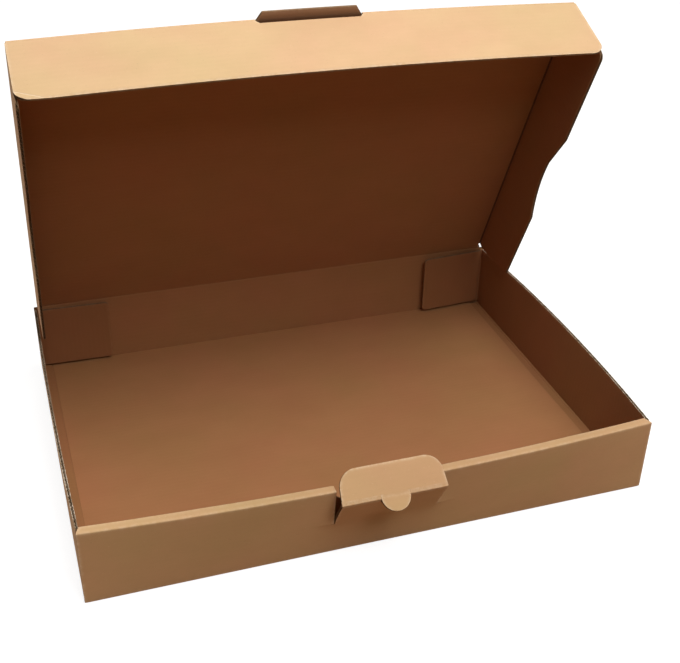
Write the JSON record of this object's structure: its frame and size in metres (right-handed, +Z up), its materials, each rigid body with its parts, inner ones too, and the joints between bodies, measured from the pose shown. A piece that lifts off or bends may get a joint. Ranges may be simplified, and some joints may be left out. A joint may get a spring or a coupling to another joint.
{
  "type": "folding postal box",
  "caption": "Flat rectangular corrugated cardboard mailing box with a hinged tuck-in lid, fold-in flaps and a locking tab with a thumb piece on the front wall.",
  "frame": {"origin": "middle of the tray's underside", "axes": "+Z up, +X along the front wall to its right end, +Y from the front wall to the lid's crease"},
  "size_m": [0.3565, 0.2722, 0.2754],
  "materials": {
    "board": "matt brown kraft corrugated board"
  },
  "bodies": {
    "tray": {"tray": "board"},
    "lock_tab": {"lock_tab": "board"},
    "lid": {"lid": "board"},
    "lid_front_flap": {"lid_front_flap": "board"},
    "lid_left_flap": {"lid_left_flap": "board"},
    "lid_right_flap": {"lid_right_flap": "board"},
    "rear_left_flap": {"rear_left_flap": "board"},
    "rear_right_flap": {"rear_right_flap": "board"}
  },
  "joints": [
    {"name": "lid_hinge", "type": "hinge", "parent": "tray", "child": "lid", "pos_m": [0, 0.124, 0.0515], "axis": [-1, 0, 0], "range_deg": [-66.5, 113.5]},
    {"name": "lid_front_flap_crease", "type": "hinge", "parent": "lid", "child": "lid_front_flap", "pos_m": [0, 0.02961, 0.26857], "axis": [-1, 0, 0], "range_deg": [0, 90]},
    {"name": "lid_left_flap_crease", "type": "hinge", "parent": "lid", "child": "lid_left_flap", "pos_m": [-0.1717, 0.124, 0.0515], "axis": [0, 0.3987, -0.9171], "range_deg": [-60, 90]},
    {"name": "lid_right_flap_crease", "type": "hinge", "parent": "lid", "child": "lid_right_flap", "pos_m": [0.1717, 0.124, 0.0515], "axis": [0, -0.3987, 0.9171], "range_deg": [-60, 90]},
    {"name": "lock_tab_crease", "type": "hinge", "parent": "tray", "child": "lock_tab", "pos_m": [0, -0.14029, 0.04652], "axis": [1, 0, 0], "range_deg": [-44, 76]},
    {"name": "rear_left_flap_crease", "type": "hinge", "parent": "tray", "child": "rear_left_flap", "pos_m": [-0.174, 0.1216, 0.0265], "axis": [0, 0, -1], "range_deg": [-1.5, 58.5]},
    {"name": "rear_right_flap_crease", "type": "hinge", "parent": "tray", "child": "rear_right_flap", "pos_m": [0.174, 0.1216, 0.0265], "axis": [0, 0, 1], "range_deg": [-4, 56]}
  ]
}
